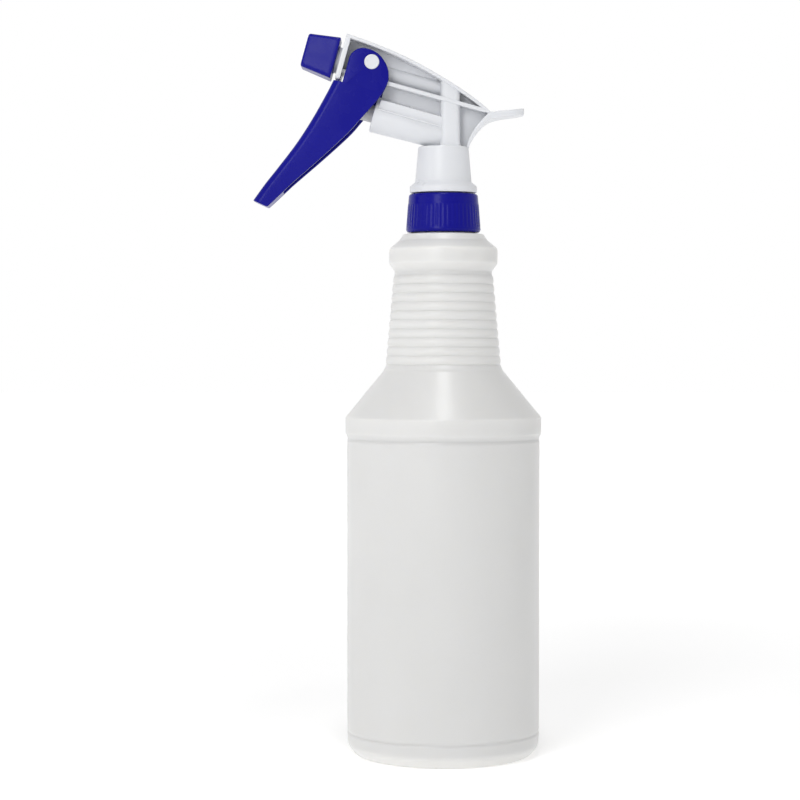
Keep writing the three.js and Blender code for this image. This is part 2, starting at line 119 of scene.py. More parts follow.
def noise(nodes, links, coords, scale, detail, stretch=(1, 1, 1)):
    mapping = nodes.new("ShaderNodeMapping")
    mapping.inputs["Scale"].default_value = stretch
    texture = nodes.new("ShaderNodeTexNoise")
    texture.inputs["Scale"].default_value = scale
    texture.inputs["Detail"].default_value = detail
    links.new(coords, mapping.inputs["Vector"])
    links.new(mapping.outputs["Vector"], texture.inputs["Vector"])
    return texture.outputs["Fac"]


def ranged(nodes, links, value, low, high):
    node = nodes.new("ShaderNodeMapRange")
    node.inputs["From Min"].default_value = NOISE_LOW
    node.inputs["From Max"].default_value = NOISE_HIGH
    node.inputs["To Min"].default_value = low
    node.inputs["To Max"].default_value = high
    links.new(value, node.inputs["Value"])
    return node.outputs["Result"]


def blended(nodes, links, value, colour_a, colour_b):
    ramp = nodes.new("ShaderNodeValToRGB")
    ramp.color_ramp.elements[0].position = NOISE_LOW
    ramp.color_ramp.elements[1].position = NOISE_HIGH
    ramp.color_ramp.elements[0].color = (*colour_a, 1)
    ramp.color_ramp.elements[1].color = (*colour_b, 1)
    links.new(value, ramp.inputs["Fac"])
    return ramp.outputs["Color"]


def plastic(name, colour_a, colour_b, rough, grain, bump_depth, glow=0.0, radius=0.002,
            stretch=(1, 1, 1), specular=0.4):
    """Moulded plastic: slow colour drift, uneven gloss and a fine moulded grain."""
    material, nodes, links, shader = new_material(name)
    coords = nodes.new("ShaderNodeTexCoord").outputs["Object"]
    drift = noise(nodes, links, coords, DRIFT_SCALE, 2.0, stretch)
    links.new(blended(nodes, links, drift, colour_a, colour_b), shader.inputs["Base Color"])
    uneven = noise(nodes, links, coords, GLOSS_SCALE, 4.0, stretch)
    links.new(ranged(nodes, links, uneven, rough[0], rough[1]), shader.inputs["Roughness"])
    fine = noise(nodes, links, coords, grain, 2.0, stretch)
    wavy = noise(nodes, links, coords, WAVE_SCALE, 1.0, stretch)
    height = nodes.new("ShaderNodeMath")
    height.operation = "MULTIPLY_ADD"
    height.inputs[1].default_value = WAVE_SHARE
    links.new(wavy, height.inputs[0])
    links.new(fine, height.inputs[2])
    bump = nodes.new("ShaderNodeBump")
    bump.inputs["Strength"].default_value = BUMP_STRENGTH
    bump.inputs["Distance"].default_value = bump_depth
    links.new(height.outputs["Value"], bump.inputs["Height"])
    links.new(bump.outputs["Normal"], shader.inputs["Normal"])
    shader.inputs["IOR"].default_value = PLASTIC_IOR
    shader.inputs["Specular IOR Level"].default_value = specular
    if glow:
        shader.inputs["Subsurface Weight"].default_value = glow
        shader.inputs["Subsurface Radius"].default_value = GLOW_COLOUR
        shader.inputs["Subsurface Scale"].default_value = radius
    return material


MILKY = plastic("milky_polyethylene", (0.768, 0.758, 0.730), (0.798, 0.788, 0.762), (0.30, 0.34), 260,
                0.00003, glow=0.5, radius=0.006, stretch=(1, 1, 0.6), specular=0.5)
BLUE = plastic("blue_polypropylene", (0.0046, 0.0044, 0.205), (0.0062, 0.0058, 0.232), (0.22, 0.31), 1400,
               0.000012, specular=0.13)
WHITE = plastic("white_polypropylene", (0.668, 0.680, 0.706), (0.698, 0.710, 0.736), (0.27, 0.36), 1300,
                0.00003, glow=0.2, radius=0.0012, specular=0.3)
PISTON = plastic("piston_plastic", (0.56, 0.56, 0.57), (0.60, 0.60, 0.61), (0.35, 0.45), 1200,
                 0.00003, glow=0.15, radius=0.0015)
SEAL = plastic("seal_plastic", (0.52, 0.52, 0.51), (0.58, 0.58, 0.57), (0.45, 0.58), 1000,
               0.00004, glow=0.2, radius=0.0015)
TUBE = plastic("tube_polyethylene", (0.74, 0.74, 0.72), (0.79, 0.79, 0.775), (0.30, 0.40), 900,
               0.00004, glow=0.35, radius=0.002, stretch=(1, 1, 0.1))


def drawn_steel():
    material, nodes, links, shader = new_material("stainless_steel")
    coords = nodes.new("ShaderNodeTexCoord").outputs["Object"]
    streaks = noise(nodes, links, coords, 900, 3.0, (1, 1, 6))
    links.new(blended(nodes, links, streaks, (0.50, 0.51, 0.53), (0.63, 0.64, 0.66)),
              shader.inputs["Base Color"])
    links.new(ranged(nodes, links, streaks, 0.16, 0.30), shader.inputs["Roughness"])
    shader.inputs["Metallic"].default_value = 1.0
    return material


STEEL = drawn_steel()

# --- Floor and light ---------------------------------------------------------

FLOOR_GLOW = (0.39, 0.70)  # near the object and far from it
FLOOR_HALF = 6.0
LIT_POINT = (0, 0, 0.2)


def graded(nodes, links, value, start, end, low, high):
    """A smooth change from low to high as value goes from start to end."""
    node = nodes.new("ShaderNodeMapRange")
    node.interpolation_type = "SMOOTHSTEP"
    for socket, number in (("From Min", start), ("From Max", end), ("To Min", low), ("To Max", high)):
        node.inputs[socket].default_value = number
    links.new(value, node.inputs["Value"])
    return node.outputs["Result"]


def stage_material():
    """Pale floor that brightens with distance, so that it meets the studio's wall without a line."""
    material, nodes, links, shader = new_material("studio_floor")
    coords = nodes.new("ShaderNodeTexCoord").outputs["Object"]
    mottled = noise(nodes, links, coords, 6, 2.0)
    links.new(blended(nodes, links, mottled, (0.84, 0.84, 0.84), (0.86, 0.86, 0.86)),
              shader.inputs["Base Color"])
    shader.inputs["Roughness"].default_value = 0.9
    shader.inputs["Specular IOR Level"].default_value = 0.1
    distance = nodes.new("ShaderNodeVectorMath")
    distance.operation = "LENGTH"
    links.new(coords, distance.inputs[0])
    shader.inputs["Emission Color"].default_value = (1, 1, 1, 1)
    links.new(graded(nodes, links, distance.outputs["Value"], 0.05, 1.2, FLOOR_GLOW[0], FLOOR_GLOW[1]),
              shader.inputs["Emission Strength"])
    return material


floor_mesh = bpy.data.meshes.new("floor")
floor_mesh.from_pydata(
    [(-FLOOR_HALF, -FLOOR_HALF, 0), (FLOOR_HALF, -FLOOR_HALF, 0),
     (FLOOR_HALF, FLOOR_HALF, 0), (-FLOOR_HALF, FLOOR_HALF, 0)],
    [], [(0, 1, 2, 3)])
floor = bpy.data.objects.new("floor", floor_mesh)
floor.data.materials.append(stage_material())
bpy.context.scene.collection.objects.link(floor)

# The studio's wall is white behind the bottle, darker overhead, in front and to the right.
world = bpy.data.worlds.new("studio")
world.use_nodes = True
world_nodes = world.node_tree.nodes
direction = world_nodes.new("ShaderNodeTexCoord").outputs["Generated"]
heading = world_nodes.new("ShaderNodeSeparateXYZ")
world.node_tree.links.new(direction, heading.inputs[0])
world_nodes["Background"].inputs["Color"].default_value = (1, 1, 1, 1)
strength = None
for axis, start, end, far in (("Z", 0.2, 0.75, 0.30), ("X", 0.2, 0.8, 0.78), ("Y", -0.2, -0.8, 0.58)):
    fall = graded(world_nodes, world.node_tree.links, heading.outputs[axis], start, end, 1.0, far)
    if strength is None:
        strength = fall
        continue
    product = world_nodes.new("ShaderNodeMath")
    product.operation = "MULTIPLY"
    world.node_tree.links.new(strength, product.inputs[0])
    world.node_tree.links.new(fall, product.inputs[1])
    strength = product.outputs["Value"]
world.node_tree.links.new(strength, world_nodes["Background"].inputs["Strength"])
bpy.context.scene.world = world
bpy.context.scene.view_settings.view_transform = "Standard"


def softbox(name, place, size, power):
    """An area lamp that faces the middle of the object."""
    data = bpy.data.lights.new(name, "AREA")
    data.shape = "RECTANGLE"
    data.size, data.size_y = size
    data.energy = power
    lamp = bpy.data.objects.new(name, data)
    bpy.context.scene.collection.objects.link(lamp)
    towards = Vector(LIT_POINT) - Vector(place)
    lamp.matrix_world = Matrix.Translation(place) @ towards.to_track_quat("-Z", "Y").to_matrix().to_4x4()


softbox("key_left", (-0.5, -1.3, 0.75), (0.45, 0.9), 7)
softbox("top", (-0.1, -0.2, 1.4), (0.8, 0.6), 1.5)
softbox("top_strip", (0.01, -0.36, 1.3), (0.09, 0.6), 3)

# --- Mesh helpers ------------------------------------------------------------

SMOOTH_ANGLE = math.radians(38)
STRAIGHT_ANGLE = math.radians(89)  # half of a corner this open is not rounded
BEVEL_ANGLE = math.radians(40)
BEVEL_STEPS = 3
MERGE_DISTANCE = 1e-7


def finish_mesh(name, verts, faces, matrix):
    mesh = bpy.data.meshes.new(name)
    mesh.from_pydata([matrix @ Vector(v) for v in verts], [], faces)
    mesh.validate()
    bm = bmesh.new()
    bm.from_mesh(mesh)
    bmesh.ops.remove_doubles(bm, verts=bm.verts, dist=MERGE_DISTANCE)
    bmesh.ops.recalc_face_normals(bm, faces=bm.faces)
    bm.to_mesh(mesh)
    bm.free()
    mesh.shade_smooth()
    mesh.set_sharp_from_angle(angle=SMOOTH_ANGLE)
    piece = bpy.data.objects.new(name, mesh)
    bpy.context.scene.collection.objects.link(piece)
    return piece


def declare(piece, body, slot, material, *nodes):
    """Gives a piece its material and body, and names the CAD nodes that it replaces. The slot argument is
    not used.
    """
    piece.data.materials.clear()
    piece.data.materials.append(material)
    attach(piece, body)
    if nodes:
        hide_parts(*nodes)


def rings(name, rows, matrix, loop=False):
    """A skin over closed rings of points, capped at both ends unless the rings themselves form a loop."""
    count = len(rows[0])
    verts = [point for row in rows for point in row]
    faces = []
    last = len(rows) if loop else len(rows) - 1
    for i in range(last):
        a = i * count
        b = ((i + 1) % len(rows)) * count
        for j in range(count):
            k = (j + 1) % count
            faces.append((a + j, a + k, b + k, b + j))
    if not loop:
        faces.append(tuple(range(count)))
        faces.append(tuple(range((len(rows) - 1) * count, len(rows) * count)))
    return finish_mesh(name, verts, faces, matrix)


def fillet(corners, closed=False, steps=5):
    """Rounds the corners of an outline given as (x, y, radius)."""
    rounded = []
    count = len(corners)
    for i, (x, y, radius) in enumerate(corners):
        corner = Vector((x, y))
        if radius == 0 or (not closed and i in (0, count - 1)):
            rounded.append((x, y))
            continue
        to_a = Vector(corners[i - 1][:2]) - corner
        to_b = Vector(corners[(i + 1) % count][:2]) - corner
        half = to_a.angle(to_b) / 2
        if half > STRAIGHT_ANGLE:
            rounded.append((x, y))
            continue
        reach = min(radius / math.tan(half), 0.48 * to_a.length, 0.48 * to_b.length)
        start = corner + to_a.normalized() * reach
        end = corner + to_b.normalized() * reach
        bisector = (to_a.normalized() + to_b.normalized()).normalized()
        centre = corner + bisector * reach / math.cos(half)
        turn = (start - centre).angle_signed(end - centre)
        for k in range(steps + 1):
            arm = (start - centre).copy()
            arm.rotate(Matrix.Rotation(-turn * k / steps, 2))
            rounded.append(tuple(centre + arm))
    return rounded


def lathe(name, profile, matrix=ROW_FRAME, segments=96, closed=False, radial=None):
    """Turns a profile of (radius, height) about the matrix's Z axis."""
    rows = []
    for radius, height in profile:
        row = []
        for j in range(segments):
            angle = 2 * math.pi * j / segments
            r = max(radius, 1e-5)
            if radial:
                r = radial(r, height, angle)
            row.append((r * math.cos(angle), r * math.sin(angle), height))
        rows.append(row)
    return rings(name, rows, matrix, loop=closed)


def spline(points, per_span):
    """Catmull-Rom curve through points."""
    points = [Vector(p) for p in points]
    ends = [2 * points[0] - points[1]] + points + [2 * points[-1] - points[-2]]
    curve = []
    for i in range(1, len(ends) - 2):
        p0, p1, p2, p3 = ends[i - 1:i + 3]
        for k in range(per_span):
            t = k / per_span
            curve.append(0.5 * ((2 * p1) + (p2 - p0) * t + (2 * p0 - 5 * p1 + 4 * p2 - p3) * t ** 2
                                + (3 * p1 - p0 - 3 * p2 + p3) * t ** 3))
    curve.append(points[-1])
    return [tuple(p) for p in curve]


def bevelled(piece, width):
    modifier = piece.modifiers.new("edge", "BEVEL")
    modifier.width = width * MM
    modifier.segments = BEVEL_STEPS
    modifier.limit_method = "ANGLE"
    modifier.angle_limit = BEVEL_ANGLE
    modifier.harden_normals = True
    return piece


def slab(name, outline, half, matrix, edge):
    """A side outline of (u, w) given thickness across Y, with its edges rounded."""
    count = len(outline)
    verts = [(u, y, w) for y in (-half, half) for u, w in outline]
    faces = [tuple(range(count)), tuple(range(2 * count - 1, count - 1, -1))]
    for i in range(count):
        k = (i + 1) % count
        faces.append((i, k, count + k, count + i))
    return bevelled(finish_mesh(name, verts, faces, matrix), edge)


# --- Bottle ------------------------------------------------------------------

_, bottle_high = size_mm("bottle")
RIM_Z = bottle_high.z
BEAD_R = bottle_high.x
PANEL_R = BEAD_R - 0.8
WALL = 1.1
NECK_BASE = 176.4
NECK_RIBS = 10
RIB_PITCH = 4.03
RIB_RELIEF = 0.5
NECK_FOOT_R = 26.0
NECK_TOP_R = 22.4


def neck_radius(z):
    """The neck narrows evenly from its foot to its top."""
    return NECK_FOOT_R + (NECK_TOP_R - NECK_FOOT_R) * (z - NECK_BASE) / (NECK_RIBS * RIB_PITCH)


def neck_ribs():
    """Rounded ribs with narrower valleys between them."""
    samples = 10
    outline = []
    for k in range(NECK_RIBS * samples + 1):
        z = NECK_BASE + 0.6 + RIB_PITCH * k / samples
        wave = abs(math.cos(math.pi * (k / samples - 0.5))) ** 0.8
        outline.append((neck_radius(z) - 0.3 + RIB_RELIEF * wave, z))
    return outline


bottle_outside = fillet([
    (0, 1.0, 0),
    (28.6, 1.0, 4.0),
    (32.2, 0.0, 2.0),
    (39.6, 0.0, 4.2),
    (43.2, 4.6, 5.0),
    (PANEL_R, 9.9, 0.6),
    (PANEL_R - 0.4, 11.0, 0.7),
    (PANEL_R, 12.2, 0.8),
    (PANEL_R, 142.2, 1.4),
    (PANEL_R - 0.3, 143.6, 1.0),
    (BEAD_R, 146.2, 2.0),
    (BEAD_R - 0.05, 153.2, 1.6),
    (27.0, 174.2, 2.4),
    (NECK_FOOT_R - 0.2, NECK_BASE + 0.5, 0),
], steps=6)
bottle_top = fillet([
    (neck_radius(217.6) - 0.3, 217.6, 0),
    (22.0, 219.0, 1.2),
    (24.5, 222.6, 2.2),
    (24.5, 229.3, 2.0),
    (19.9, 233.0, 2.0),
    (18.2, 235.7, 0.8),
    (14.4, 236.3, 0.6),
    (12.4, 237.6, 0.6),
    (12.4, RIM_Z, 0.5),
    (10.8, RIM_Z, 0.4),
    (10.8, 238.0, 1.0),
    (16.8, 234.8, 2.0),
    (22.6, 229.0, 2.0),
    (23.3, 224.5, 2.0),
    (21.0, 219.0, 2.0),
    (24.6, NECK_BASE, 3.0),
    (26.2, 173.2, 3.0),
    (42.9, 152.8, 3.0),
    (43.2, 147.0, 2.0),
    (PANEL_R - WALL, 142.0, 1.0),
    (PANEL_R - WALL, 6.0, 3.0),
    (38.6, 1.7, 3.0),
    (32.4, 1.7, 2.0),
    (28.8, 2.3, 2.0),
    (0, 2.3, 0),
], steps=5)
bottle = lathe("bottle_shell", bottle_outside + neck_ribs() + bottle_top, segments=144)
declare(bottle, "bottle", "bottle", MILKY, "bottle")


THREAD_STEPS = 72  # rows in one turn
THREAD_FADE = 0.06  # share of its length


def helix_ridge(name, section, radius, pitch, turns, start):
    """A thread: a section of (outwards, upwards) swept round a helix, fading in and out at its ends."""
    total = int(THREAD_STEPS * turns)
    rows = []
    for i in range(total + 1):
        t = i / total
        rise = min(1.0, t / THREAD_FADE, (1 - t) / THREAD_FADE)
        rise = math.sin(rise * math.pi / 2)
        angle = 2 * math.pi * turns * t
        height = start + pitch * turns * t
        row = []
        for out, up in section:
            r = radius + out * rise
            row.append((r * math.cos(angle), r * math.sin(angle), height + up))
        rows.append(row)
    return rings(name, rows, ROW_FRAME)


THREAD_SECTION = fillet([(-0.3, -1.1, 0), (1.3, -0.55, 0.25), (1.3, 0.55, 0.25), (-0.3, 1.1, 0)], steps=3)
thread = helix_ridge("bottle_thread", THREAD_SECTION, 12.3, 4.23, 1.4, 241.6)
declare(thread, "bottle", "bottle", MILKY)

# --- Screw cap ---------------------------------------------------------------

cap_low, cap_high = size_mm("screw_cap")
CAP_RIBS = 48
RIB_DEPTH = 0.17
RIB_FROM = cap_low.z + 1.9
RIB_TO = cap_low.z + 12.5
RIB_FADE = 0.8
RIB_MIN_R = 15.3  # keeps the ribs off the cap's inner wall
cap_outline = fillet([
    (14.6, cap_low.z, 0.3),
    (16.3, cap_low.z, 0.8),
    (16.85, cap_low.z + 1.1, 0.4),
    (16.0, cap_low.z + 12.6, 0.3),
    (15.85, cap_low.z + 13.2, 0.3),
    (15.55, cap_high.z - 0.2, 1.3),
    (9.9, cap_high.z, 0.3),
    (9.9, cap_high.z - 1.4, 0.2),
    (14.4, cap_high.z - 1.4, 0.8),
], closed=True)


def with_rows_between(outline, low, high, count):
    """Adds rows to the one long wall that runs from low to high."""
    rows = []
    for i, point in enumerate(outline):
        rows.append(point)
        after = outline[(i + 1) % len(outline)]
        if after[1] - point[1] > 0.6 * (high - low):
            rows += [(point[0] + (after[0] - point[0]) * k / count,
                      point[1] + (after[1] - point[1]) * k / count) for k in range(1, count)]
    return rows


def cap_ribs(radius, height, angle):
    """Fine ribs on the cap's skirt, made by shallow grooves that fade at both ends."""
    if radius < RIB_MIN_R or not RIB_FROM < height < RIB_TO:
        return radius
    fade = min(1.0, (height - RIB_FROM) / RIB_FADE, (RIB_TO - height) / RIB_FADE)
    groove = (0.5 - 0.5 * math.cos(CAP_RIBS * angle)) ** 1.5
    return radius - RIB_DEPTH * fade * groove


cap = lathe("cap_shell", with_rows_between(cap_outline, cap_low.z, RIB_TO, 22), segments=CAP_RIBS * 10,
            closed=True, radial=cap_ribs)
declare(cap, "cap", "blue", BLUE, "screw_cap")

# --- Sprayer body ------------------------------------------------------------

RISER_X = HEAD.x / MM
HEAD_HALF = 11.2  # half width of the head at the front plate
MIDDLE_HALF = 9.2  # at the riser
TAIL_HALF = 8.4
NARROWS_FROM = -44
TAIL_FROM = 18
PLATE_U = -51.3
PLATE_THICK = 2.3
PLATE_TOP = 11.0
PLATE_BOTTOM = -9.0
TOP_THICK = 1.5
SHELF_W = -4.7
SHELF_THICK = 1.8
SHELF_HALF = 8.4
SHELF_END = 18.0
PUMP_W = -19.1
WEB_HALF = 1.0


def body_part(piece, *nodes):
    declare(piece, "head", "white", WHITE, *nodes)


skirt_base = cap_high.z + 0.3
skirt = lathe("body_skirt", fillet([
    (9.8, skirt_base, 0.3),
    (15.2, skirt_base, 0.5),
    (15.2, skirt_base + 2.9, 0.7),
    (12.75, skirt_base + 4.9, 0.9),
    (11.35, 275.2, 0.7),
    (0.01, 275.3, 0),
    (0.01, 274.0, 0),
    (9.8, 273.2, 0.5),
], closed=True), segments=128, closed=True)
body_part(skirt, "sprayer_body")

top_line = spline([
    (PLATE_U, 11.5), (-40.2, 10.8), (-26.7, 9.3), (-15.2, 7.1), (-4.7, 4.5), (5.0, 1.6), (13.8, -1.6),
    (21.2, -5.1),
], 5)


def at(curve, value, axis=0):
    """The other coordinate of a curve where its given axis has this value."""
    for a, b in zip(curve, curve[1:]):
        low, high = sorted((a[axis], b[axis]))
        if low <= value <= high and high > low:
            t = (value - a[axis]) / (b[axis] - a[axis])
            return a[1 - axis] + t * (b[1 - axis] - a[1 - axis])
    ends = sorted((curve[0], curve[-1]), key=lambda p: abs(p[axis] - value))
    return ends[0][1 - axis]


def head_half(u):
    """Half width of the head: full at the front plate, narrower towards the tail."""
    if u < NARROWS_FROM:
        return HEAD_HALF
    if u < 0:
        return MIDDLE_HALF + (HEAD_HALF - MIDDLE_HALF) * u / NARROWS_FROM
    return MIDDLE_HALF + (TAIL_HALF - MIDDLE_HALF) * min(u, TAIL_FROM) / TAIL_FROM


def plate_rows(lower, upper, halves, corner):
    """Cross-sections of a plate of varying width and thickness, rounded at its four edges."""
    rows = []
    for low, high, half in zip(lower, upper, halves):
        low, high = Vector(low), Vector(high)
        depth = (high - low).length
        across = (high - low).normalized()
        section = fillet([(-half, 0, corner), (half, 0, corner), (half, depth, corner),
                          (-half, depth, corner)], closed=True, steps=4)
        rows.append([(low.x + across.x * d, y, low.y + across.y * d) for y, d in section])
    return rows


def normal_of(curve, i):
    """The direction square to a curve at its i-th point."""
    a = Vector(curve[max(i - 1, 0)])
    b = Vector(curve[min(i + 1, len(curve) - 1)])
    along = (b - a).normalized()
    return Vector((-along.y, along.x))


under_line = []
for i, point in enumerate(top_line):
    up = normal_of(top_line, i)
    up = up if up.y > 0 else -up
    under_line.append(tuple(Vector(point) - up * TOP_THICK))
top_halves = [head_half(u) for u, _ in top_line]
body_part(rings("body_top_plate", plate_rows(under_line, top_line, top_halves, 0.5), HEAD_FRAME))

front_outline = fillet([
    (-HEAD_HALF, PLATE_TOP, 0.6),
    (HEAD_HALF, PLATE_TOP, 0.6),
    (HEAD_HALF, PLATE_BOTTOM, 2.6),
    (-HEAD_HALF, PLATE_BOTTOM, 2.6),
], closed=True, steps=6)


def inset(outline, distance):
    """Moves a closed outline inwards."""
    count = len(outline)
    area = sum(outline[i][0] * outline[(i + 1) % count][1] - outline[(i + 1) % count][0] * outline[i][1]
               for i in range(count))
    sign = 1 if area > 0 else -1
    moved = []
    for i in range(count):
        a, b, c = (Vector(outline[(i + k) % count]) for k in (-1, 0, 1))
        ab, bc = (b - a), (c - b)
        normals = [Vector((-d.y, d.x)).normalized() * sign for d in (ab, bc) if d.length > 1e-9]
        normal = sum(normals, Vector((0, 0))).normalized()
        moved.append(tuple(b + normal * distance))
    return moved


def pillow(outline, thick, edge, place, steps=4):
    """A plate from a closed outline: its edges are rounded on both faces."""
    front, back = [], []
    for k in range(steps + 1):
        angle = math.pi / 2 * k / steps
        ring = inset(outline, edge * (1 - math.sin(angle)))
        depth = edge * (1 - math.cos(angle))
        front.append(place(ring, depth))
        back.append(place(ring, thick - depth))
    return front + back[::-1]


front_plate = rings("body_front_plate", pillow(
    front_outline, PLATE_THICK, 0.4,
    lambda ring, depth: [(PLATE_U + depth, y, w) for y, w in ring]), HEAD_FRAME)
body_part(front_plate)


def block(name, u0, u1, half, w0, w1, edge):
    """A rectangular block in the head's frame, centred across Y."""
    outline = [(u0, w0), (u1, w0), (u1, w1), (u0, w1)]
    return slab(name, outline, half, HEAD_FRAME, edge)


shelf_low = SHELF_W - SHELF_THICK / 2
shelf_high = SHELF_W + SHELF_THICK / 2
body_part(block("body_shelf", PLATE_U + 1, SHELF_END, SHELF_HALF, shelf_low, shelf_high, 0.35))
web_top = [(u, w - 0.7) for u, w in top_line if -50 < u < 14]
web_outline = [(PLATE_U + 1, SHELF_W), (SHELF_END - 0.4, SHELF_W)] + web_top[::-1]
body_part(slab("body_web", web_outline, WEB_HALF, HEAD_FRAME, 0.1))
body_part(block("body_pump_web", -29.0, 4.0, WEB_HALF, PUMP_W + 7.0, SHELF_W, 0.1))

PUMP_R = 8.1
PUMP_REAR_R = 7.3
PUMP_MOUTH = -30.5
PUMP_END = 3.2
RIDGE_END = 0.4
body_part(lathe("body_pump", fillet([
    (6.5, PUMP_MOUTH, 0.25),
    (PUMP_R, PUMP_MOUTH, 0.5),
    (PUMP_REAR_R, PUMP_END, 0.5),
    (0.01, PUMP_END, 0),
    (0.01, -3.0, 0),
    (6.5, -3.0, 0.4),
], closed=True), u_axis(PUMP_W), 96, closed=True))
SEAT_R = 7.0  # inside the pump's wall, clear of its bore
CHEEK_TOP = 6.6
CHEEK_FOOT = 1.0
CHEEK_HALF = 7.5


def beside_pump(name, section, end, edge):
    """A strip along each side of the pump, from a (y, w) section measured from the pump's axis."""
    for side, label in ((-1, "near"), (1, "far")):
        rows = [[(u, side * y, PUMP_W + w) for y, w in section] for u in (PUMP_MOUTH + 1.6, end)]
        body_part(bevelled(rings(f"{name}_{label}", rows, HEAD_FRAME), edge))


cheek = [(CHEEK_HALF, CHEEK_FOOT), (CHEEK_HALF, CHEEK_TOP)]
for k in range(7):
    angle = math.asin((CHEEK_TOP + (CHEEK_FOOT - CHEEK_TOP) * k / 6) / SEAT_R)
    cheek.append((SEAT_R * math.cos(angle), SEAT_R * math.sin(angle)))
beside_pump("body_pump_cheek", cheek, PUMP_END, 0.3)
RIDGE_OUT = PUMP_R + 0.4
ridge = [(6.75, 1.9), (RIDGE_OUT, 1.9), (RIDGE_OUT, 2.5), (6.75, 2.5)]
beside_pump("body_pump_ridge", ridge, RIDGE_END, 0.2)

TUBE_R = 3.3
POST_R = 6.0
POST_TIP = -60.0
PIVOT_R = 3.3
body_part(lathe("body_tube", fillet([
    (0.01, PLATE_U + 1, 0),
    (TUBE_R + 1.2, PLATE_U + 1, 0),
    (TUBE_R + 1.2, PLATE_U + PLATE_THICK, 0),
    (TUBE_R, PLATE_U + PLATE_THICK + 1.0, 0.8),
    (TUBE_R, 0.5, 0.5),
    (0.01, 1.0, 0),
]), u_axis(), 64))
body_part(lathe("body_post", fillet([
    (4.2, POST_TIP, 0.2),
    (POST_R - 0.6, POST_TIP, 0.4),
    (POST_R - 0.6, -57.9, 0.2),
    (POST_R, -57.4, 0.25),
    (POST_R, -56.9, 0.25),
    (POST_R - 0.6, -56.4, 0.2),
    (POST_R - 0.6, -54.2, 0.2),
    (POST_R, -53.7, 0.2),
    (POST_R, PLATE_U - 0.5, 0.5),
    (POST_R + 0.6, PLATE_U + 0.1, 0),
    (4.2, PLATE_U + 0.1, 0),
], closed=True), u_axis(), 64, closed=True))
ALONG_Y = Matrix.Rotation(-math.pi / 2, 4, "X")
trunnion_half = HEAD_HALF + 0.2
body_part(lathe("body_trunnions", fillet([
    (0.01, -trunnion_half + 0.25, 0),
    (PIVOT_R - 1.0, -trunnion_half + 0.2, 0.6),
    (PIVOT_R - 0.5, -trunnion_half, 0.3),
    (PIVOT_R, -trunnion_half, 0.35),
    (PIVOT_R, trunnion_half, 0.35),
    (PIVOT_R - 0.5, trunnion_half, 0.3),
    (PIVOT_R - 1.0, trunnion_half - 0.2, 0.6),
    (0.01, trunnion_half - 0.25, 0),
]), HEAD_FRAME @ Matrix.Translation((PIVOT_U, 0, PIVOT_W)) @ ALONG_Y, 64))

# The riser stands on the skirt and ends inside the top plate.
RISER_DEPTH = 4.4
RISER_HALF = 8.2
RISER_CORNER = 2.5


def riser_plan(grow, height):
    """The riser's cross-section, a rectangle with rounded corners, grown outwards by this much."""
    half_x = RISER_DEPTH + grow
    half_y = RISER_HALF + grow
    corners = [(-half_x, -half_y), (half_x, -half_y), (half_x, half_y), (-half_x, half_y)]
    plan = fillet([(x, y, RISER_CORNER + grow) for x, y in corners], closed=True, steps=8)
    return [(RISER_X + x, y, height) for x, y in plan]


riser_foot = fillet([(0.9, 275.0, 0), (0.2, 275.7, 0.5), (0, 277.4, 1.2), (0, 290, 0)])
riser_rows = [riser_plan(grow, height) for grow, height in riser_foot]
head_z = HEAD.z / MM
tilt = math.atan2(-U_AXIS.z, U_AXIS.x)
riser_top = []
for x, y, _ in riser_rows[-1]:
    u_guess = (x - RISER_X) / math.cos(tilt)
    w = at(top_line, u_guess) - 0.8
    riser_top.append((x, y, head_z - (x - RISER_X) * math.tan(tilt) + w / math.cos(tilt)))
riser_rows.append(riser_top)
body_part(rings("body_riser", riser_rows, ROW_FRAME))

saddle_lower = spline([
    (11.5, 274.8), (12.0, 276.2), (13.3, 278.7), (15.8, 282.3), (19.0, 285.5), (22.1, 287.1), (26.4, 288.1),
    (31.4, 288.7), (35.7, 289.3), (36.1, 289.7),
], 4)
saddle_upper = spline([
    (10.5, 274.9), (10.9, 276.9), (12.0, 279.7), (14.4, 283.5), (17.4, 287.0), (21.0, 290.2), (26.4, 290.9),
    (31.4, 291.4), (35.7, 292.0), (36.1, 291.7),
], 4)
saddle_halves = [y for _, y in spline([
    (0, 5.2), (1, 5.9), (2, 7.2), (3, 8.5), (4, 8.8), (5, 8.7), (6, 8.4), (7, 7.9), (8, 5.8), (9, 4.2),
], 4)]
saddle = rings("body_saddle", plate_rows(saddle_lower, saddle_upper, saddle_halves, 0.3), ROW_FRAME)
body_part(saddle)
saddle_web = [(RISER_X, 274.8), (11.1, 274.8)]
saddle_web += [(x, z - 0.6) for x, z in saddle_upper if 276 < z < 290.0 and x < 20.6]
saddle_web += [(20.8, 289.9), (RISER_X, 295.6)]
body_part(slab("body_saddle_web", saddle_web, WEB_HALF, ROW_FRAME, 0.1))

# --- Trigger -----------------------------------------------------------------

EAR_INNER = 8.9
TRIGGER_WALL = 2.2
EAR_HALF = EAR_INNER + TRIGGER_WALL
UNDER_PLATE = -9.8
rear_curve = spline([
    (-66.1, -72.3), (-63.7, -69.1), (-56.0, -57.4), (-47.1, -44.0), (-38.9, -30.9), (-35.2, -23.4),
    (-32.3, -17.6), (-29.8, -12.3), (-28.2, -7.6), (-27.8, -3.4), (-28.8, 0.4),
], 6)
front_curve = spline([
    (-72.3, -71.3), (-69.1, -62.8), (-65.4, -54.2), (-60.3, -41.8), (-56.4, -29.8), (-53.3, -17.6),
    (-51.6, UNDER_PLATE),
], 8)
TIP_W = -71.3
TIP_HALF = 8.0
TIP_DROP = 1.0
DROP_FROM = -60.0
TAPER_FROM = -31
TAPER_LENGTH = 44
FRONT_WALL = 2.7
POCKET_FOOT = -64.0
POCKET_SLOPE = 0.9


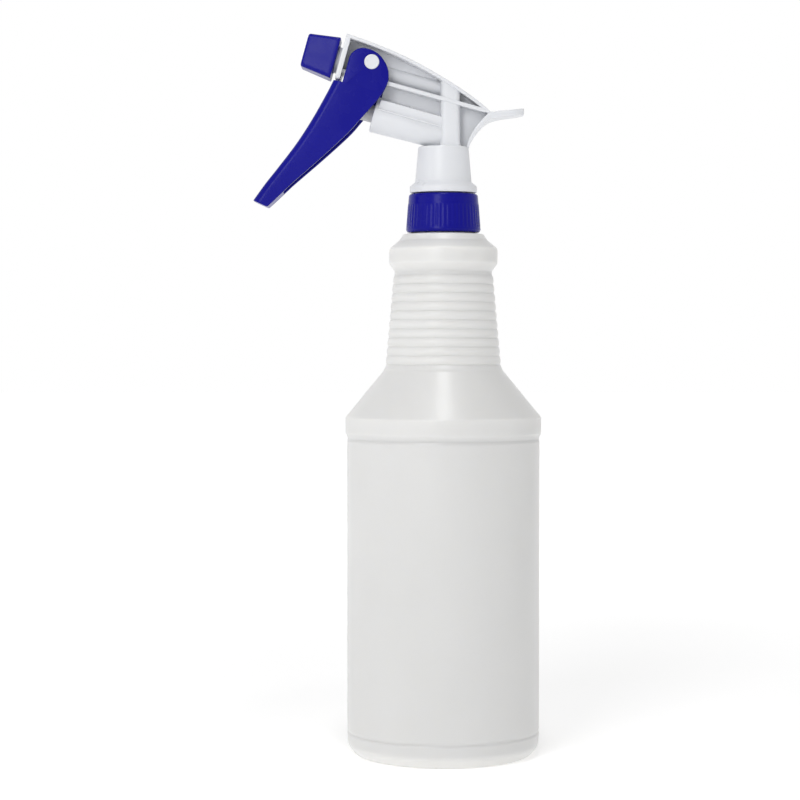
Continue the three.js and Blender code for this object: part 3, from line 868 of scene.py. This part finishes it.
def trigger_half(w):
    if w > TAPER_FROM:
        return EAR_HALF
    return EAR_HALF - (EAR_HALF - TIP_HALF) * (TAPER_FROM - w) / TAPER_LENGTH


def lever_section(w, shrink=0.0):
    """A channel open to the rear: two side walls and a rounded front wall."""
    front = at(front_curve, w, 1) + shrink
    rear = at(rear_curve, w, 1) - shrink
    half = trigger_half(w) - shrink
    inner = half - TRIGGER_WALL
    pocket = max(0.02, min(rear - front - FRONT_WALL, POCKET_SLOPE * (w - POCKET_FOOT)))
    floor_u = rear - pocket
    section = fillet([
        (-half, rear, 0.45), (-half, front, 3.4), (half, front, 3.4), (half, rear, 0.45),
        (inner, rear, 0.7), (inner, floor_u, 1.5), (-inner, floor_u, 1.5), (-inner, rear, 0.7),
    ], closed=True, steps=8)
    fade = max(0.0, (DROP_FROM - w) / (DROP_FROM - TIP_W))
    return [(u, y, w - TIP_DROP * fade * (u - front) / (rear - front)) for y, u in section]


lever_rows = []
TIP_ROUND = 0.4
for k in range(5):
    angle = math.pi / 2 * k / 4
    w = TIP_W + TIP_ROUND * (1 - math.cos(angle))
    lever_rows.append(lever_section(w, TIP_ROUND * (1 - math.sin(angle))))
STATIONS = 170
for k in range(1, STATIONS + 1):
    lever_rows.append(lever_section(TIP_W + TIP_ROUND + (UNDER_PLATE - TIP_W - TIP_ROUND) * k / STATIONS))
lever = rings("trigger_lever", lever_rows, HEAD_FRAME)
declare(lever, "trigger_lever", "blue", BLUE, "trigger")

ear_outline = [(-47.5, UNDER_PLATE - 2.4), (-47.5, UNDER_PLATE), (-47.45, -4.0), (-47.4, 1.8)]
ear_outline += spline([
    (-47.0, 3.6), (-45.4, 5.8), (-43.0, 7.3), (-40.2, 7.6), (-37.0, 7.2), (-33.8, 5.8), (-30.8, 3.2),
    (-28.8, 0.4),
], 5)
ear_outline += [p for p in rear_curve[::-1] if UNDER_PLATE - 2.4 < p[1] < 0.2]


def divided(outline, longest):
    """A closed outline with points added so that no stretch is longer than this."""
    points = []
    for a, b in zip(outline, outline[1:] + outline[:1]):
        a, b = Vector(a), Vector(b)
        parts = max(1, math.ceil((b - a).length / longest))
        points += [tuple(a.lerp(b, k / parts)) for k in range(parts)]
    return points


ear_outline = divided(ear_outline, 0.9)
EAR_SINK = 0.015  # keeps the ear's face just inside the lever's
HOLE_R = PIVOT_R + 0.1
EAR_EDGE = 0.8
EAR_INNER_EDGE = 0.4


def ear(name, side):
    """One ear of the trigger, a plate with a round hole for its trunnion."""
    outline = inset(ear_outline, EAR_SINK)
    hole = []
    for u, w in outline:
        angle = math.atan2(w - PIVOT_W, u - PIVOT_U)
        hole.append((PIVOT_U + HOLE_R * math.cos(angle), PIVOT_W + HOLE_R * math.sin(angle)))
    inner = EAR_INNER + EAR_SINK
    outer = EAR_HALF - EAR_SINK
    rows = [[(u, side * inner, w) for u, w in hole], [(u, side * outer, w) for u, w in hole]]
    for k in range(6):
        angle = math.pi / 2 * k / 5
        ring = inset(outline, EAR_EDGE * (1 - math.sin(angle)))
        y = outer - EAR_EDGE * (1 - math.cos(angle))
        rows.append([(u, side * y, w) for u, w in ring])
    for k in range(4):
        angle = math.pi / 2 * (1 - k / 3)
        ring = inset(outline, EAR_INNER_EDGE * (1 - math.sin(angle)))
        y = inner + EAR_INNER_EDGE * (1 - math.cos(angle))
        rows.append([(u, side * y, w) for u, w in ring])
    declare(rings(name, rows, HEAD_FRAME, loop=True), "trigger_lever", "blue", BLUE)


ear("trigger_ear_near", -1)
ear("trigger_ear_far", 1)

NOSE_R = 3.0
NOSE_U = PIVOT_U - 6.3
PAD_U = NOSE_U - NOSE_R - 0.3
pad = block("trigger_pad", PAD_U - 4.6, PAD_U, 9.0, PUMP_W - 5.0, PUMP_W + 4.6, 0.5)
declare(pad, "trigger_lever", "blue", BLUE)

# --- Nozzle ------------------------------------------------------------------

NOZZLE_REAR = -53.4
NOZZLE_FRONT = -67.9
REAR_HALF = 9.4
FRONT_HALF = 7.5
NOZZLE_CORNER = 1.3
NOZZLE_BORE = 6.3
NOZZLE_POINTS = 96


def rounded_square(half, corner, u):
    """A square ring whose points are spread by angle, so that it blends into circles."""
    ring = []
    flat = half - corner
    for j in range(NOZZLE_POINTS):
        angle = 2 * math.pi * (j + 0.5) / NOZZLE_POINTS
        c, s = math.cos(angle), math.sin(angle)
        reach = half / max(abs(c), abs(s))
        if min(abs(c), abs(s)) * reach > flat:
            along = flat * (abs(c) + abs(s))
            reach = along + math.sqrt(max(along ** 2 - 2 * flat ** 2 + corner ** 2, 0))
        ring.append((u, reach * c, reach * s))
    return ring


def circle_ring(radius, u):
    angles = [2 * math.pi * (j + 0.5) / NOZZLE_POINTS for j in range(NOZZLE_POINTS)]
    return [(u, radius * math.cos(a), radius * math.sin(a)) for a in angles]


def nozzle_half(u):
    return REAR_HALF + (FRONT_HALF - REAR_HALF) * (u - NOZZLE_REAR) / (NOZZLE_FRONT - NOZZLE_REAR)


nozzle_rows = [circle_ring(NOZZLE_BORE, NOZZLE_REAR + 0.3), circle_ring(NOZZLE_BORE + 0.3, NOZZLE_REAR)]
REAR_EDGE = 0.4
FRONT_EDGE = 0.9
for k in range(4):
    angle = math.pi / 2 * k / 3
    u = NOZZLE_REAR - REAR_EDGE * (1 - math.cos(angle))
    half = nozzle_half(u) - REAR_EDGE * (1 - math.sin(angle))
    nozzle_rows.append(rounded_square(half, NOZZLE_CORNER, u))
for k in range(1, 8):
    u = NOZZLE_REAR - REAR_EDGE + (NOZZLE_FRONT + FRONT_EDGE - NOZZLE_REAR + REAR_EDGE) * k / 8
    nozzle_rows.append(rounded_square(nozzle_half(u), NOZZLE_CORNER, u))
for k in range(5):
    angle = math.pi / 2 * k / 4
    u = NOZZLE_FRONT + FRONT_EDGE * (1 - math.sin(angle))
    half = nozzle_half(u) - FRONT_EDGE * (1 - math.cos(angle))
    nozzle_rows.append(rounded_square(half, NOZZLE_CORNER, u))
nozzle_bore = fillet([
    (4.4, NOZZLE_FRONT, 0),
    (3.0, NOZZLE_FRONT, 0.3),
    (2.1, -66.4, 0.2),
    (0.5, -66.1, 0.1),
    (0.5, -64.6, 0.1),
    (2.4, -64.6, 0.2),
    (2.4, -61.7, 0.2),
    (NOZZLE_BORE, -61.7, 0.3),
    (NOZZLE_BORE, -56.0, 0.1),
    (5.8, -55.6, 0.1),
    (5.8, -55.2, 0.1),
    (NOZZLE_BORE, -54.8, 0.1),
    (NOZZLE_BORE, NOZZLE_REAR + 0.3, 0),
])
nozzle_rows += [circle_ring(radius, u) for radius, u in nozzle_bore[:-1]]
nozzle = rings("nozzle_shell", nozzle_rows, HEAD_FRAME, loop=True)
declare(nozzle, "nozzle_cap", "blue", BLUE, "nozzle")

# --- Pump and closure pieces -------------------------------------------------

PISTON_END = -17.2
WIPER_FROM = -27.4
CUP_FROM = PISTON_END - 3.6
nose_arc = [(NOSE_R * math.sin(math.radians(a)), NOSE_U - NOSE_R * math.cos(math.radians(a)))
            for a in range(0, 121, 10)]
piston = lathe("piston_shell", nose_arc + fillet([
    (2.6, -41.2, 0.3),
    (3.9, -40.0, 0.5),
    (3.9, -30.6, 0.2),
    (6.15, -29.8, 0.2),
    (6.15, WIPER_FROM - 0.3, 0.2),
    (4.3, WIPER_FROM - 0.3, 0.2),
    (4.3, WIPER_FROM + 2.5, 0.2),
    (5.6, WIPER_FROM + 2.5, 0.2),
    (5.6, CUP_FROM - 0.3, 0.2),
    (3.2, CUP_FROM - 0.3, 0.2),
    (3.2, PISTON_END, 0.3),
    (0.01, PISTON_END, 0),
]), u_axis(PUMP_W), 72)
declare(piston, "piston", "piston", PISTON, "pump_piston")

gasket_low, gasket_high = size_mm("cap_gasket")
declare(lathe("gasket_ring", fillet([
    (6.4, gasket_low.z, 0.2), (gasket_high.x, gasket_low.z, 0.3), (gasket_high.x, gasket_high.z, 0.3),
    (6.4, gasket_high.z, 0.2),
], closed=True), closed=True), "head", "seal", SEAL, "cap_gasket")

housing_low, housing_high = size_mm("valve_housing")
flange_bottom = gasket_high.z + 0.3
flange_top = cap_high.z - 1.7
declare(lathe("housing_shell", fillet([
    (3.7, housing_low.z, 0.4), (5.6, housing_low.z, 0.5), (5.8, flange_bottom, 0.5),
    (housing_high.x, flange_bottom, 0.3), (housing_high.x, flange_top, 0.3), (9.5, flange_top, 0.4),
    (9.5, 259.8, 0.5), (6.4, 261.2, 0.5), (6.4, housing_high.z, 0.3), (3.6, housing_high.z, 0.2),
    (3.6, 258.2, 0.4), (1.9, 256.2, 0.3), (1.9, 252.6, 0.1), (3.7, 252.6, 0.2),
], closed=True), closed=True), "head", "white", WHITE, "valve_housing")

dip_low, dip_high = size_mm("dip_tube")
declare(lathe("dip_tube_skin", fillet([
    (2.3, dip_low.z, 0.2), (3.4, dip_low.z, 0.2), (3.4, dip_high.z, 0.2), (2.3, dip_high.z, 0.2),
], closed=True), segments=48, closed=True), "head", "tube", TUBE, "dip_tube")

for name, material in (
    ("tube_strainer", SEAL), ("ball_cage", SEAL), ("piston_wiper", SEAL), ("piston_cup", SEAL),
    ("outlet_valve", SEAL), ("nozzle_seal", SEAL), ("spinner", WHITE), ("inlet_ball", STEEL),
):
    node = frame["nodes"][name]
    node.data.materials.clear()
    node.data.materials.append(material)

# --- Springs -----------------------------------------------------------------

COIL_STEPS = 36  # rows in one turn
WIRE_POINTS = 12


def spring(node, matrix, coil_radius, wire, pitch, turns, start):
    """A coil of round wire, built at one fixed length."""
    steps = turns * COIL_STEPS
    slope = math.atan2(pitch, 2 * math.pi * coil_radius)
    wire_angles = [2 * math.pi * k / WIRE_POINTS for k in range(WIRE_POINTS)]
    rows = []
    for i in range(steps + 1):
        angle = 2 * math.pi * turns * i / steps
        outward = Vector((math.cos(angle), math.sin(angle), 0))
        back = Vector((math.sin(angle), -math.cos(angle), 0))
        across = back * math.sin(slope) + Vector((0, 0, math.cos(slope)))
        centre = outward * coil_radius + Vector((0, 0, start + pitch * turns * i / steps))
        rows.append([tuple(centre + (outward * math.cos(a) + across * math.sin(a)) * wire)
                     for a in wire_angles])
    piece = rings(f"{node}_wire", rows, matrix)
    declare(piece, "head", "steel", STEEL, node)
    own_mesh(piece)


CHAMBER_END = -3.0
SPRING_R = 4.9
WIRE = 0.45
SPRING_START = PISTON_END + 0.9
SPRING_END = CHAMBER_END - 0.9
SPRING_TURNS = 4
spring_length = SPRING_END - SPRING_START
spring_pitch = spring_length / SPRING_TURNS
spring("return_spring", u_axis(PUMP_W), SPRING_R, WIRE, spring_pitch, SPRING_TURNS, SPRING_START)

VALVE_SPRING_R = 2.3
VALVE_WIRE = 0.3
VALVE_PITCH = 1.1
VALVE_TURNS = 2
VALVE_START = -56.1
spring("valve_spring", u_axis(), VALVE_SPRING_R, VALVE_WIRE, VALVE_PITCH, VALVE_TURNS, VALVE_START)
